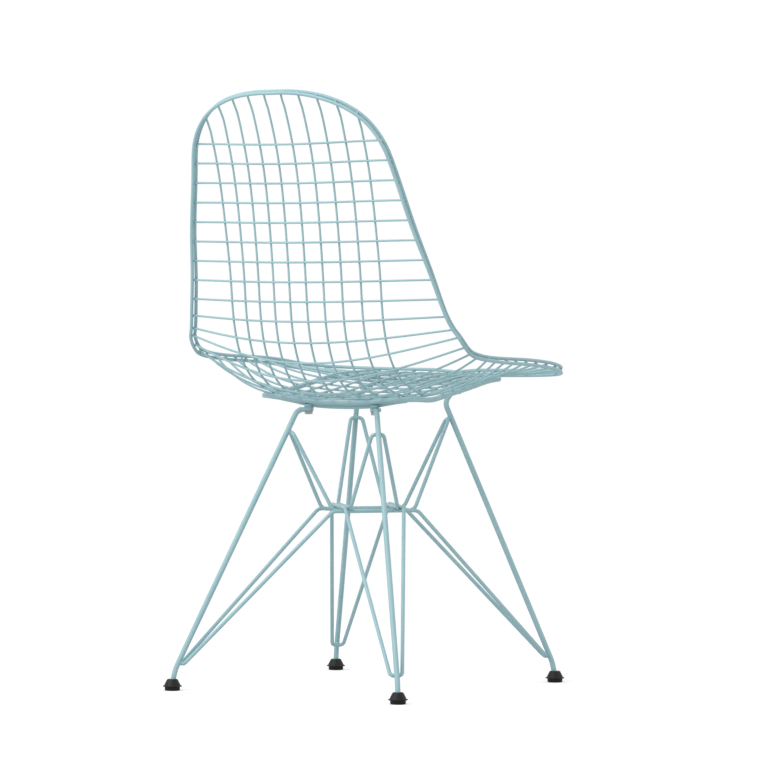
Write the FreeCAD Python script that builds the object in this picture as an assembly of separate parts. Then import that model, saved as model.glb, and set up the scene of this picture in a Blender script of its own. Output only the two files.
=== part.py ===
import FreeCAD, Part
import math
import os
from FreeCAD import Vector

# Wire mesh side chair: a welded seat shell on a braced rod base.
# The front faces -Y, the sitter's left is +X, and the glides stand on z = 0.

os.makedirs("parts", exist_ok=True)

# Wire and rod diameters.
mesh_wire = 3.0
rim_wire = 4.8
ring_rod = 7.5
leg_rod = 7.5
brace_wire = 5.4
weld_sink = 0.12
facet_turn = math.radians(24)
facet_sag = 1.1
wire_sides = 6
rod_sides = 8
round_sides = 16

# Side view of the shell down its middle, as (y, z), from the top edge to the front edge.
top_edge = (233.0, 830.0)
shoulder = (204.6, 759.6)
mid_back = (184.4, 668.0)
lumbar = (171.6, 560.0)
hip_top = (163.9, 501.0)
hip_turn = (148.6, 457.5)
hip_low = (111.0, 416.5)
seat_low = (62.0, 406.8)
seat_mid = (-50.0, 417.8)
seat_front = (-165.0, 433.6)
front_edge = (-235.4, 436.6)

# Outline of the shell, half width against distance down the middle line.
seat_half_width = 230.5
back_taper_width = 140.6
taper_length = 399.2
taper_blend = 8.0
top_corner_length = 104.0
top_corner_power = 2.5
front_corner_length = 134.0
front_corner_power = 3.0
rim_limit = 1.1

# How far the rim stands in from the middle line, as (share of the middle line, depth).
dish_depth = (
    (0.0, 1.5), (0.05, 9.0), (0.1, 11.0), (0.24, 20.5), (0.345, 39.0),
    (0.45, 53.0), (0.555, 63.5), (0.64, 59.0), (0.74, 46.0), (0.845, 27.5),
    (0.93, 11.0), (1.0, 3.0),
)
# How far the lift leans off square to the middle line, in degrees towards the seat.
lift_lean = (
    (0.0, 0.0), (0.4, 0.0), (0.445, 5.0), (0.485, 13.0), (0.52, 11.0),
    (0.56, 1.0), (0.6, -7.0), (0.66, -9.0), (0.8, -7.0), (0.9, -3.0), (1.0, 0.0),
)
# How round the cross curve is: 1 is a parabola, 0 a flat floor with steep sides.
cross_roundness = (
    (0.0, 1.6), (0.2, 2.05), (0.31, 1.5), (0.39, 1.24), (0.53, 1.2),
    (0.595, 0.75), (0.64, 0.05), (0.71, 0.25), (0.78, 0.5), (0.845, 0.95), (1.0, 1.0),
)

# Mesh layout, as distances down the middle line.
first_row = 75.9
back_pitch = 27.44
back_rows = 10
hip_pitch = 30.3
hip_rows = 6
seat_pitch = 27.3
seat_rows = 9
rib_pitch = 28.0
ribs_per_side = 5
rib_settle = 26.0
rib_steps = 8

# Rod ring under the seat and the bowed rail behind it.
ring_half_width = 140.0
ring_rear_lead = -13.5
ring_front_lead = 4.5
ring_corner = 22.0
ring_settle = 6.0
rail_half_length = 104.0
rail_gap = 0.3
rail_swing = 72.0
rail_boss_radius = 6.2

# Legs, each from its foot up to the bend under the seat.
foot_x = 189.2
foot_y = 204.8
leg_top_rear = (68.2, 73.9, 387.0)
leg_top_front = (74.8, -90.5, 400.0)
ankle_height = 30.0
toe_tilt = 12.0
toe_height = 6.0
shoulder_bend = 13.0
ankle_bend = 60.0

# Leg pads and their bolts.
bolt_rear_x = 56.0
bolt_front_x = 76.0
bolt_front_inset = 25.0
pad_width = 14.0
pad_thickness = 4.6
pad_tongue = 5.0
bolt_radius = 3.0
bolt_head_across = 10.0
bolt_head_height = 4.0
bolt_end_room = 1.4
washer_radius = 6.4
washer_thickness = 1.2
hole_play = 0.2
thread_play = 0.05
tab_thickness = 4.0
tab_width = 20.0
tab_rear_reach = 10.0
boss_rise = 0.6
washer_room = 1.2
cutter_reach = 40.0

# Thin bracing loops: a pair across each diagonal.
brace_level = 249.7
brace_centre_y = -6.5
upper_spread = 33.2
lower_spread = 41.6
upper_corner = 59.0
lower_corner = 62.0
upper_rear_height = 359.0
upper_front_height = 374.0
lower_height = 40.0
u_bend = 8.2
brace_corner_bend = 12.0

# Glides.
glide_foot_radius = 10.75
glide_flange_radius = 13.5
glide_collar_radius = 11.6
glide_top_radius = 7.25
glide_foot_height = 5.2
glide_flange_thickness = 2.0
glide_height = 16.2
glide_chamfer = 0.8
glide_bore_play = 0.06
glide_shift = 0.8


def corner_share_of(sides):
    # Corner radius of a many-sided section with the area of a round one of radius 1.
    return math.sqrt(2 * math.pi / (sides * math.sin(2 * math.pi / sides)))


rod_corner_share = corner_share_of(rod_sides)
round_corner_share = corner_share_of(round_sides)


def smooth(stations, x):
    # A smooth curve through a few stations, holding its end values beyond them.
    n = len(stations)
    slopes = []
    for i in range(n):
        low = stations[max(i - 1, 0)]
        high = stations[min(i + 1, n - 1)]
        slopes.append((high[1] - low[1]) / (high[0] - low[0]))
    for i in range(n - 1):
        if x <= stations[i + 1][0] or i == n - 2:
            x0, y0 = stations[i]
            x1, y1 = stations[i + 1]
            break
    h = x1 - x0
    t = min(max((x - x0) / h, 0.0), 1.0)
    a = (1 + 2 * t) * (1 - t) ** 2
    b = t * (1 - t) ** 2
    c = t * t * (3 - 2 * t)
    d = t * t * (t - 1)
    return a * y0 + b * h * slopes[i] + c * y1 + d * h * slopes[i + 1]


profile_points = [
    top_edge, shoulder, mid_back, lumbar, hip_top, hip_turn,
    hip_low, seat_low, seat_mid, seat_front, front_edge,
]
profile_table_steps = 600


def spline_slopes(knots, values):
    # Slopes that make a chain of cubics smooth to the second derivative, with free ends.
    n = len(knots)
    upper = [0.5]
    right = [1.5 * (values[1] - values[0]) / (knots[1] - knots[0])]
    for i in range(1, n):
        h0 = knots[i] - knots[i - 1]
        d0 = (values[i] - values[i - 1]) / h0
        if i < n - 1:
            h1 = knots[i + 1] - knots[i]
            d1 = (values[i + 1] - values[i]) / h1
            low, mid, high = h1, 2 * (h0 + h1), h0
            total = 3 * (h1 * d0 + h0 * d1)
        else:
            low, mid, high = 1.0, 2.0, 0.0
            total = 3 * d0
        scale = mid - low * upper[-1]
        upper.append(high / scale)
        right.append((total - low * right[-1]) / scale)
    slopes = [right[-1]]
    for i in range(n - 2, -1, -1):
        slopes.append(right[i] - upper[i] * slopes[-1])
    return slopes[::-1]


profile_knots = [0.0]
for i in range(1, len(profile_points)):
    (ya, za), (yb, zb) = profile_points[i - 1], profile_points[i]
    profile_knots.append(profile_knots[-1] + math.hypot(yb - ya, zb - za))
profile_slopes = [
    spline_slopes(profile_knots, [p[k] for p in profile_points]) for k in (0, 1)
]


def profile_at(u):
    # Point and direction on the side view curve.
    i = 0
    while i < len(profile_knots) - 2 and u > profile_knots[i + 1]:
        i += 1
    h = profile_knots[i + 1] - profile_knots[i]
    t = (u - profile_knots[i]) / h
    place = []
    heading = []
    for k in (0, 1):
        p0, p1 = profile_points[i][k], profile_points[i + 1][k]
        m0, m1 = profile_slopes[k][i] * h, profile_slopes[k][i + 1] * h
        c2 = 3 * (p1 - p0) - 2 * m0 - m1
        c3 = 2 * (p0 - p1) + m0 + m1
        place.append(p0 + m0 * t + c2 * t * t + c3 * t ** 3)
        heading.append((m0 + 2 * c2 * t + 3 * c3 * t * t) / h)
    size = math.hypot(heading[0], heading[1])
    return place, [heading[0] / size, heading[1] / size]


# Distance down the curve at even steps, to turn a distance into a place on it.
profile_lengths = [0.0]
for i in range(profile_table_steps):
    (ya, za), d = profile_at(profile_knots[-1] * i / profile_table_steps)
    (yb, zb), d = profile_at(profile_knots[-1] * (i + 1) / profile_table_steps)
    profile_lengths.append(profile_lengths[-1] + math.hypot(yb - ya, zb - za))
profile_length = profile_lengths[-1]


def middle(s):
    # Point and inward direction on the middle line at distance s from the top edge.
    low, high = 0, profile_table_steps
    while high - low > 1:
        half = (low + high) // 2
        if profile_lengths[half] <= s:
            low = half
        else:
            high = half
    share = (s - profile_lengths[low]) / (profile_lengths[high] - profile_lengths[low])
    place, heading = profile_at(profile_knots[-1] * (low + share) / profile_table_steps)
    return Vector(0, place[0], place[1]), Vector(0, heading[1], -heading[0])


def corner_share(distance, length, power):
    r = 1 - distance / length
    if r <= 0:
        return 1.0
    return max(1 - r ** power, 0.0) ** (1 / power)


def half_width(s):
    taper = back_taper_width + (seat_half_width - back_taper_width) * s / taper_length
    gap = taper - seat_half_width
    side = (taper + seat_half_width - math.sqrt(gap * gap + taper_blend ** 2)) / 2
    top = corner_share(s, top_corner_length, top_corner_power)
    front = corner_share(profile_length - s, front_corner_length, front_corner_power)
    return side * top * front


def shell_point(s, x):
    # The mesh surface: the middle line lifted inward towards both sides.
    s = min(max(s, 0.0), profile_length)
    p, inward = middle(s)
    share = s / profile_length
    w = max(half_width(s), 1.0)
    t2 = min(abs(x) / w, rim_limit) ** 2
    k = smooth(cross_roundness, share)
    lift = smooth(dish_depth, share) * (k * t2 + (1 - k) * t2 * t2)
    lean = math.radians(smooth(lift_lean, share))
    along = Vector(0, inward.z, -inward.y)
    return p + Vector(x, 0, 0) + (inward * math.cos(lean) + along * math.sin(lean)) * lift


def shell_normal(s, x):
    # Unit vector square to the mesh surface, towards the sitter.
    step = 1.5
    s0 = max(s - step, 0.0)
    s1 = min(s + step, profile_length)
    w0 = max(half_width(s0), 1.0)
    w1 = max(half_width(s1), 1.0)
    w = max(half_width(s), 1.0)
    reach = min(x / w, 1.0) if x >= 0 else max(x / w, -1.0)
    along = shell_point(s1, reach * w1) - shell_point(s0, reach * w0)
    across = shell_point(s, x + step) - shell_point(s, x - step)
    n = along.cross(across)
    n.normalize()
    return n


def offset_point(s, x, distance):
    return shell_point(s, x) + shell_normal(s, x) * distance


def arc_edge(start, corner, end):
    # Arc that leaves start towards corner and reaches end, both the same distance from it.
    chord_mid = (start + end) * 0.5
    half_chord = (end - start).Length / 2
    side = (corner - start).Length
    ratio = min(half_chord / side, 1.0)
    if ratio > 0.9999995:
        return Part.LineSegment(start, end).toShape()
    mid = chord_mid + (corner - chord_mid) * (ratio / (1 + ratio))
    return Part.Arc(start, mid, end).toShape()


def biarc_edges(p0, t0, p1, t1):
    # Two tangent arcs from p0 to p1 with the given end directions.
    v = p1 - p0
    t = t0 + t1
    dot = t0.dot(t1)
    a = 2 * (1 - dot)
    vt = v.dot(t)
    if a < 1e-9:
        d = v.dot(v) / (2 * vt)
    else:
        d = (math.sqrt(vt * vt + a * v.dot(v)) - vt) / a
    q0 = p0 + t0 * d
    q1 = p1 - t1 * d
    joint = (q0 + q1) * 0.5
    return [arc_edge(p0, q0, joint), arc_edge(joint, q1, p1)]


def fair_wire(points, closed=False, ends=None):
    # A smooth chain of arcs through points; ends gives the two end directions.
    n = len(points)
    tangents = []
    for i in range(n):
        if closed:
            before = points[(i - 1) % n]
            after = points[(i + 1) % n]
        else:
            before = points[max(i - 1, 0)]
            after = points[min(i + 1, n - 1)]
        here = points[i]
        if before == here:
            t = after - here
        elif after == here:
            t = here - before
        else:
            a = here - before
            b = after - here
            t = a * (1 / a.Length ** 2) + b * (1 / b.Length ** 2)
        t.normalize()
        tangents.append(t)
    if not closed:
        first = points[1] - points[0]
        first.normalize()
        last = points[-1] - points[-2]
        last.normalize()
        tangents[0] = first * (2 * first.dot(tangents[1])) - tangents[1]
        tangents[-1] = last * (2 * last.dot(tangents[-2])) - tangents[-2]
    if ends:
        tangents[0] = ends[0]
        tangents[-1] = ends[1]
    edges = []
    for i in range(n if closed else n - 1):
        j = (i + 1) % n
        edges += biarc_edges(points[i], tangents[i], points[j], tangents[j])
    return Part.Wire(edges)


def filleted_wire(points, radii, closed=False):
    # Straight runs joined by tangent arcs, one radius for each inner point.
    n = len(points)
    edges = []
    corners = range(n) if closed else range(1, n - 1)
    cuts = {}
    for i in corners:
        here = points[i]
        a = points[(i - 1) % n] - here
        b = points[(i + 1) % n] - here
        a.normalize()
        b.normalize()
        turn = math.pi - a.getAngle(b)
        trim = radii[i] * math.tan(turn / 2)
        cuts[i] = (here + a * trim, here + b * trim)
    start = cuts[0][1] if closed else points[0]
    order = list(range(1, n)) + ([0] if closed else [])
    for i in order:
        if i in cuts:
            enter, leave = cuts[i]
            if (enter - start).Length > 1e-4:
                edges.append(Part.LineSegment(start, enter).toShape())
            edges.append(arc_edge(enter, points[i], leave))
            start = leave
        else:
            edges.append(Part.LineSegment(start, points[i]).toShape())
            start = points[i]
    return Part.Wire(edges)


def stations_along(wire, closed):
    # Points and directions along a wire: ends of straight runs and even steps on arcs.
    marks = []
    for edge in wire.OrderedEdges:
        low, high = edge.FirstParameter, edge.LastParameter
        forward = edge.Orientation != "Reversed"
        turn = edge.tangentAt(low).getAngle(edge.tangentAt(high))
        sag = edge.Length * turn / 8
        steps = math.ceil(max(1.0, turn / facet_turn - 1e-6, math.sqrt(sag / facet_sag)))
        for i in range(steps + 1):
            share = i / steps
            at = low + (high - low) * (share if forward else 1 - share)
            direction = edge.tangentAt(at)
            if not forward:
                direction = direction * -1
            point = edge.valueAt(at)
            if marks and (marks[-1][0] - point).Length < 1e-4:
                continue
            marks.append((point, direction))
    if closed and (marks[0][0] - marks[-1][0]).Length < 1e-4:
        marks.pop()
    return marks


def turned(vector, before, after):
    # The vector carried round with a direction that turns from before to after.
    axis = before.cross(after)
    if axis.Length < 1e-9:
        return vector
    return FreeCAD.Rotation(before, after).multVec(vector)


def tube(wire, diameter, sides, closed=False):
    # A rod swept along a wire as a many-sided section of the rod's own area.
    marks = stations_along(wire, closed)
    count = len(marks)
    radius = diameter / 2 * corner_share_of(sides)
    start = marks[0][1]
    side = start.cross(Vector(0.31, 0.17, 0.93))
    side.normalize()
    frames = [side]
    for i in range(1, count):
        frames.append(turned(frames[-1], marks[i - 1][1], marks[i][1]))
    twist = 0.0
    if closed:
        last = turned(frames[-1], marks[-1][1], start)
        twist = math.atan2(last.cross(side).dot(start), last.dot(side))
    points = []
    for i in range(count):
        here, direction = marks[i]
        a = frames[i]
        b = direction.cross(a)
        spin = twist * i / count
        for k in range(sides):
            angle = 2 * math.pi * k / sides + spin
            points.append(here + a * (radius * math.cos(angle)) + b * (radius * math.sin(angle)))
    facets = []
    for i in range(count if closed else count - 1):
        j = (i + 1) % count
        for k in range(sides):
            m = (k + 1) % sides
            facets.append((i * sides + k, i * sides + m, j * sides + m))
            facets.append((i * sides + k, j * sides + m, j * sides + k))
    if not closed:
        end = (count - 1) * sides
        for k in range(1, sides - 1):
            facets.append((0, k + 1, k))
            facets.append((end, end + k, end + k + 1))
    shell = Part.Shape()
    shell.makeShapeFromMesh((points, facets), 1e-4)
    solid = Part.Solid(Part.Shell(shell.Faces))
    if solid.Volume < 0:
        solid.reverse()
    return solid


def round_bar(centre, radius, height, sides=round_sides):
    # An upright many-sided bar on centre, with the area of the round one.
    corner_radius = radius * corner_share_of(sides)
    ring = []
    for k in range(sides + 1):
        angle = 2 * math.pi * (k + 0.5) / sides
        ring.append(centre + Vector(
            corner_radius * math.cos(angle), corner_radius * math.sin(angle), 0))
    return Part.Face(Part.makePolygon(ring)).extrude(Vector(0, 0, height))


def export(name, shape):
    shape.exportStep("parts/" + name + ".step")
    expected.append((name, shape))


expected = []

# Distances of the cross wires down the middle line.
rows = []
distance = first_row
for i in range(back_rows):
    rows.append(distance)
    distance += back_pitch
distance += hip_pitch - back_pitch
for i in range(hip_rows):
    rows.append(distance)
    distance += hip_pitch
distance += seat_pitch - hip_pitch
for i in range(seat_rows):
    rows.append(distance)
    distance += seat_pitch
ring_rear = rows[back_rows + hip_rows - 1] + ring_rear_lead
ring_front = rows[-3] + ring_front_lead

# Cross wires, each a shallow curve from side rim to side rim.
row_shares = (-1.0, -0.8, -0.48, 0.0, 0.48, 0.8, 1.0)
for number, s in enumerate(rows):
    w = half_width(s) + mesh_wire * 0.3
    points = [shell_point(s, w * share) for share in row_shares]
    export("cross_wire_%02d" % (number + 1), tube(fair_wire(points), mesh_wire, wire_sides))


def rim_distance(x, low, high):
    # Where the outline crosses half width x, by halving the interval.
    for i in range(50):
        mid = (low + high) / 2
        if (half_width(mid) < x) == (half_width(low) < x):
            low = mid
        else:
            high = mid
    return (low + high) / 2


# Long wires, laid on the sitter's side of the cross wires and pinched between the rims.
rib_lift = mesh_wire - weld_sink
for side in (-1, 1):
    for number in range(ribs_per_side):
        x = rib_pitch * (number + 0.5)
        start = rim_distance(x, 0.0, top_corner_length)
        end = rim_distance(x, profile_length - front_corner_length, profile_length)
        start -= mesh_wire * 0.3
        end += mesh_wire * 0.3
        points = []
        knots = [start, start + rib_settle / 2, start + rib_settle]
        a = start + rib_settle
        b = end - rib_settle
        for i in range(1, rib_steps):
            knots.append(a + (b - a) * i / rib_steps)
        knots += [end - rib_settle, end - rib_settle / 2, end]
        for s in knots:
            near = min(s - start, end - s) / rib_settle
            ease = min(max(near, 0.0), 1.0)
            ease = ease * ease * (3 - 2 * ease)
            points.append(offset_point(s, x * side, rib_lift * ease))
        name = "long_wire_%s_%d" % ("left" if side > 0 else "right", number + 1)
        export(name, tube(fair_wire(points), mesh_wire, wire_sides))

# Double rim, one wire on each face of the mesh.
corner_steps = 6
side_steps = 11
half_outline = []
for i in range(corner_steps):
    angle = math.pi / 2 * i / corner_steps
    s = top_corner_length * (1 - math.cos(angle) ** (2 / top_corner_power))
    half_outline.append(s)
front_start = profile_length - front_corner_length
for i in range(side_steps + 1):
    half_outline.append(top_corner_length + (front_start - top_corner_length) * i / side_steps)
for i in range(corner_steps - 1, -1, -1):
    angle = math.pi / 2 * i / corner_steps
    s = front_corner_length * (1 - math.cos(angle) ** (2 / front_corner_power))
    half_outline.append(profile_length - s)
rim_lift = (rim_wire + mesh_wire) / 2 - weld_sink
for name, lift in (("rim_front", rim_lift), ("rim_back", -rim_lift)):
    left = [offset_point(s, half_width(s), lift) for s in half_outline]
    right = [Vector(-p.x, p.y, p.z) for p in reversed(left[1:-1])]
    export(name, tube(fair_wire(left + right, closed=True), rim_wire, wire_sides, True))

# Rod ring welded under the cross wires, following the shell.
ring_drop = -((ring_rod + mesh_wire) / 2 - weld_sink)
cross_bar = ring_half_width - ring_corner
turn_in = ring_corner * (1 - math.sqrt(0.5))


def bar_steps(low, high, count):
    # Steps along a bar, with a short straight step beside each corner.
    a = low + ring_settle
    b = high - ring_settle
    return [low] + [a + (b - a) * i / count for i in range(count + 1)] + [high]


along = bar_steps(ring_rear + ring_corner, ring_front - ring_corner, 3)
across = bar_steps(-cross_bar, cross_bar, 3)
corner_in = ring_half_width - turn_in
ring_path = [(ring_rear, x) for x in across]
ring_path.append((ring_rear + turn_in, corner_in))
ring_path += [(s, ring_half_width) for s in along]
ring_path.append((ring_front - turn_in, corner_in))
ring_path += [(ring_front, -x) for x in across]
ring_path.append((ring_front - turn_in, -corner_in))
ring_path += [(s, -ring_half_width) for s in reversed(along)]
ring_path.append((ring_rear + turn_in, -corner_in))
ring_points = [offset_point(s, x, ring_drop) for s, x in ring_path]
export("seat_ring", tube(fair_wire(ring_points, closed=True), ring_rod, rod_sides, True))

# Bowed rail under the rear bar of the ring, with a boss over each rear pad.
rail_steps = 8


def rail_at(x):
    # Below the bar in the middle, swinging round to beside it at the ends.
    swing = math.radians(rail_swing) * (x / rail_half_length) ** 2
    apart = ring_rod + rail_gap
    return offset_point(
        ring_rear + apart * math.sin(swing), x, ring_drop - apart * math.cos(swing))


rail_points = [
    rail_at(rail_half_length * (2 * i / rail_steps - 1)) for i in range(rail_steps + 1)]
rail = tube(fair_wire(rail_points), ring_rod, rod_sides)
rail_over_bolt = rail_at(bolt_rear_x)
bolt_rear = (bolt_rear_x, rail_over_bolt.y)
pad_top_rear = rail_over_bolt.z - ring_rod / 2 - boss_rise
for side in (-1, 1):
    below = Vector(bolt_rear[0] * side, bolt_rear[1], pad_top_rear)
    boss = round_bar(below, rail_boss_radius, ring_rod / 2 + boss_rise)
    rail = rail.fuse(boss)
    hole = round_bar(
        below - Vector(0, 0, 0.01), bolt_radius + thread_play, ring_rod / 2 - boss_rise)
    rail = rail.cut(hole)
export("rear_rail", rail)

# Threaded tabs under the front bar of the ring.
bar_front = offset_point(ring_front, bolt_front_x, ring_drop)
bolt_front = (bolt_front_x, bar_front.y + bolt_front_inset)
tab_top = bar_front.z - ring_rod / 2 + weld_sink / 2
pad_top_front = tab_top - tab_thickness
tabs = []
for side in (-1, 1):
    tab = Part.makeBox(
        tab_width, bolt_front[1] + tab_rear_reach - bar_front.y, tab_thickness,
        Vector(bolt_front[0] * side - tab_width / 2, bar_front.y, pad_top_front))
    below = Vector(bolt_front[0] * side, bolt_front[1], pad_top_front - 1)
    hole = round_bar(below, bolt_radius + thread_play, tab_thickness + 2)
    tabs.append(tab.cut(hole))
export("front_tabs", Part.makeCompound(tabs))

corners = (
    ("rear_left", 1, 1), ("rear_right", -1, 1),
    ("front_left", 1, -1), ("front_right", -1, -1),
)


def leg_points(sx, sy):
    # Toe inside the glide, ankle and bend of one leg.
    x, y, z = leg_top_rear if sy > 0 else leg_top_front
    bend = Vector(sx * x, y, z)
    foot = Vector(sx * foot_x, sy * foot_y, toe_height)
    inward = Vector(bend.x - foot.x, bend.y - foot.y, 0)
    inward.normalize()
    rise = ankle_height - toe_height
    ankle = foot + inward * (rise * math.tan(math.radians(toe_tilt))) + Vector(0, 0, rise)
    return foot, ankle, bend, inward


def leg_at(sx, sy, height):
    # Point on the straight part of a leg, and its angle from upright.
    foot, ankle, bend, inward = leg_points(sx, sy)
    run = bend - ankle
    return ankle + run * ((height - ankle.z) / run.z), math.atan2(math.hypot(run.x, run.y), run.z)


# Legs: a rod from the glide up to a bend, ending in a flat bolted pad.
for name, sx, sy in corners:
    bolt = bolt_rear if sy > 0 else bolt_front
    pad_top = pad_top_rear if sy > 0 else pad_top_front
    pad_mid = pad_top - pad_thickness / 2
    toe, heel, bend, inward = leg_points(sx, sy)
    bolt_at = Vector(bolt[0] * sx, bolt[1], pad_mid)
    towards = bolt_at - bend
    flat = Vector(towards.x, towards.y, 0)
    flat.normalize()
    bend_end = bolt_at - flat * (washer_radius + 1)
    if (bend_end - bend).Length < shoulder_bend * 1.2:
        bend_end = bolt_at - flat * (washer_radius * 0.3)
    path = [toe, heel, bend, bend_end]
    rod = tube(filleted_wire(path, [0, ankle_bend, shoulder_bend, 0]), leg_rod, rod_sides)
    axis_across = Vector(-flat.y, flat.x, 0)
    reach = washer_radius + pad_tongue
    back = bolt_at - flat * reach
    base_corner = back - axis_across * (pad_width / 2) - Vector(0, 0, pad_thickness / 2)
    outline = Part.makePolygon([
        base_corner,
        base_corner + axis_across * pad_width,
        base_corner + axis_across * pad_width + flat * reach,
        base_corner + flat * reach,
        base_corner,
    ])
    pad = Part.Face(outline).extrude(Vector(0, 0, pad_thickness))
    pad_base = bolt_at - Vector(0, 0, pad_thickness / 2)
    tip = round_bar(pad_base, pad_width / 2, pad_thickness)
    pad = pad.fuse(tip)
    above = Part.makeBox(
        2 * cutter_reach, 2 * cutter_reach, cutter_reach,
        Vector(bolt_at.x - cutter_reach, bolt_at.y - cutter_reach, pad_top))
    leg = rod.cut(above).fuse(pad)
    hole = round_bar(
        pad_base - Vector(0, 0, pad_thickness), bolt_radius + hole_play, 3 * pad_thickness)
    room_depth = washer_thickness + bolt_head_height + leg_rod
    room = round_bar(
        pad_base - Vector(0, 0, room_depth), washer_radius + washer_room, room_depth)
    leg = leg.cut(hole).cut(room)
    leg = leg.removeSplitter()
    export("leg_" + name, leg)

# Bolts and washers under the pads.
bolts = []
washers = []
for name, sx, sy in corners:
    bolt = bolt_rear if sy > 0 else bolt_front
    pad_top = pad_top_rear if sy > 0 else pad_top_front
    under = pad_top - pad_thickness
    centre = Vector(bolt[0] * sx, bolt[1], under)
    washer = round_bar(
        centre - Vector(0, 0, washer_thickness), washer_radius, washer_thickness)
    bore = round_bar(
        centre - Vector(0, 0, washer_thickness + 1), bolt_radius + hole_play, washer_thickness + 2)
    washers.append(washer.cut(bore))
    head_top = centre - Vector(0, 0, washer_thickness)
    head_radius = bolt_head_across / math.sqrt(3)
    hexagon = [
        head_top + Vector(
            head_radius * math.cos(math.pi / 3 * i), head_radius * math.sin(math.pi / 3 * i), 0)
        for i in range(7)
    ]
    head = Part.Face(Part.makePolygon(hexagon)).extrude(Vector(0, 0, -bolt_head_height))
    shank_length = washer_thickness + pad_thickness + tab_thickness - bolt_end_room
    shank = round_bar(head_top, bolt_radius, shank_length)
    bolts.append(head.fuse(shank).removeSplitter())
export("washers", Part.makeCompound(washers))
export("pad_bolts", Part.makeCompound(bolts))

# Bracing loops: each runs from one leg to the middle and out to the opposite leg.
touch = (leg_rod + brace_wire) / 2 - weld_sink
brace_centre = Vector(0, brace_centre_y, 0)
for pair, first, rise in (("left", 1, 0.0), ("right", -1, brace_wire - weld_sink)):
    level = Vector(0, 0, brace_level + rise)
    for kind in ("upper", "lower"):
        spread = upper_spread if kind == "upper" else lower_spread
        corner = upper_corner if kind == "upper" else lower_corner
        path = []
        radii = []
        for sx, sy in ((first, 1), (-first, -1)):
            height = lower_height
            if kind == "upper":
                height = upper_rear_height if sy > 0 else upper_front_height
            leg, lean = leg_at(sx, sy, height)
            out = Vector(sx * foot_x, sy * foot_y, 0) - brace_centre
            out.normalize()
            across = Vector(-out.y, out.x, 0)
            inward = Vector(-leg.x, brace_centre_y - leg.y, 0)
            inward.normalize()
            apex = leg + inward * (touch * math.cos(lean)) - Vector(0, 0, touch * math.sin(lean))
            bend = brace_centre + level + out * corner
            path += [
                bend - across * spread,
                apex - across * u_bend,
                apex + across * u_bend,
                bend + across * spread,
            ]
            radii += [brace_corner_bend, u_bend * 0.8, u_bend * 0.8, brace_corner_bend]
        name = "brace_%s_%s" % (kind, pair)
        export(name, tube(filleted_wire(path, radii, True), brace_wire, wire_sides, True))

# Glides: a foot, a thin flange and a tapered collar around the leg end.
for name, sx, sy in corners:
    toe, heel, bend, inward = leg_points(sx, sy)
    centre = Vector(toe.x, toe.y, 0) + inward * glide_shift
    r = glide_chamfer
    section = [
        (glide_foot_radius - r, 0), (glide_foot_radius, r),
        (glide_foot_radius, glide_foot_height),
        (glide_flange_radius, glide_foot_height + 0.4),
        (glide_flange_radius, glide_foot_height + glide_flange_thickness - 0.4),
        (glide_collar_radius, glide_foot_height + glide_flange_thickness),
        (glide_top_radius, glide_height),
    ]
    slices = []
    for radius, height in section:
        corner_radius = radius * round_corner_share
        slices.append(Part.makePolygon([
            centre + Vector(
                corner_radius * math.cos(2 * math.pi * k / round_sides),
                corner_radius * math.sin(2 * math.pi * k / round_sides), height)
            for k in range(round_sides + 1)
        ]))
    glide = Part.makeLoft(slices, True, True)
    bore_radius = leg_rod / 2 * rod_corner_share + glide_bore_play
    up = heel - toe
    up.normalize()
    side = Vector(-inward.y, inward.x, 0)
    forward = side.cross(up)
    ring = []
    for k in range(13):
        angle = math.pi * k / 6
        ring.append(
            toe + side * (bore_radius / math.cos(math.pi / 12) * math.cos(angle))
            + forward * (bore_radius / math.cos(math.pi / 12) * math.sin(angle)))
    bore = Part.Face(Part.makePolygon(ring)).extrude(up * (2 * glide_height))
    export("glide_" + name, glide.cut(bore))

for name, shape in expected:
    if not shape.isValid() or shape.Volume <= 0:
        print("check", name, shape.isValid(), shape.Volume)
print(len(expected), "nodes", round(profile_length, 1), "mm down the middle")
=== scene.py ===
import math

import bpy
from mathutils import Matrix, Vector


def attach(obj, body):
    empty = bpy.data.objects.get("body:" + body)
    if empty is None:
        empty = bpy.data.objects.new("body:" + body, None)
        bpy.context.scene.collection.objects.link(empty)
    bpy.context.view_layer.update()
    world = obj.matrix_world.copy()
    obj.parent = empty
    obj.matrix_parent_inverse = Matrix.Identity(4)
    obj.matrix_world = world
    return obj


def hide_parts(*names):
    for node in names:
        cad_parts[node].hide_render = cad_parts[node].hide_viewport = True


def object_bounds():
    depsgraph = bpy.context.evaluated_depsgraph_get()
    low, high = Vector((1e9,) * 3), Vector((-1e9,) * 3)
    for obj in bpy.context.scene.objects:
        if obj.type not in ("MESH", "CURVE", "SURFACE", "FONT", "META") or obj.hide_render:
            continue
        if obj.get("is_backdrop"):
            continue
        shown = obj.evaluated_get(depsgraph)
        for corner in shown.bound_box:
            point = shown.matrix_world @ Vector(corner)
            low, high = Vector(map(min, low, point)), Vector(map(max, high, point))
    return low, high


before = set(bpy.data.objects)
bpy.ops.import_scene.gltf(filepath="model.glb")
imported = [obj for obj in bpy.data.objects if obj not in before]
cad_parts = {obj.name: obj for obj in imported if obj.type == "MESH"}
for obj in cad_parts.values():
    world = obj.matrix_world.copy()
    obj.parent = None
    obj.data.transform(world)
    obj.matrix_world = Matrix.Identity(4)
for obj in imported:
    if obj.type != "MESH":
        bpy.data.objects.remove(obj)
cadLow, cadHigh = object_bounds()
bpy.ops.object.select_all(action="DESELECT")
print("frame loaded:", len(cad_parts), "nodes")

mm = 0.001  # the chair is drawn in millimetres and stored in metres

# Socket numbers of a Mix node, by what it mixes. Its factor is socket 0 in both.
floatMix = {"first": 2, "second": 3, "result": 0}
colourMix = {"first": 6, "second": 7, "result": 2}


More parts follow.
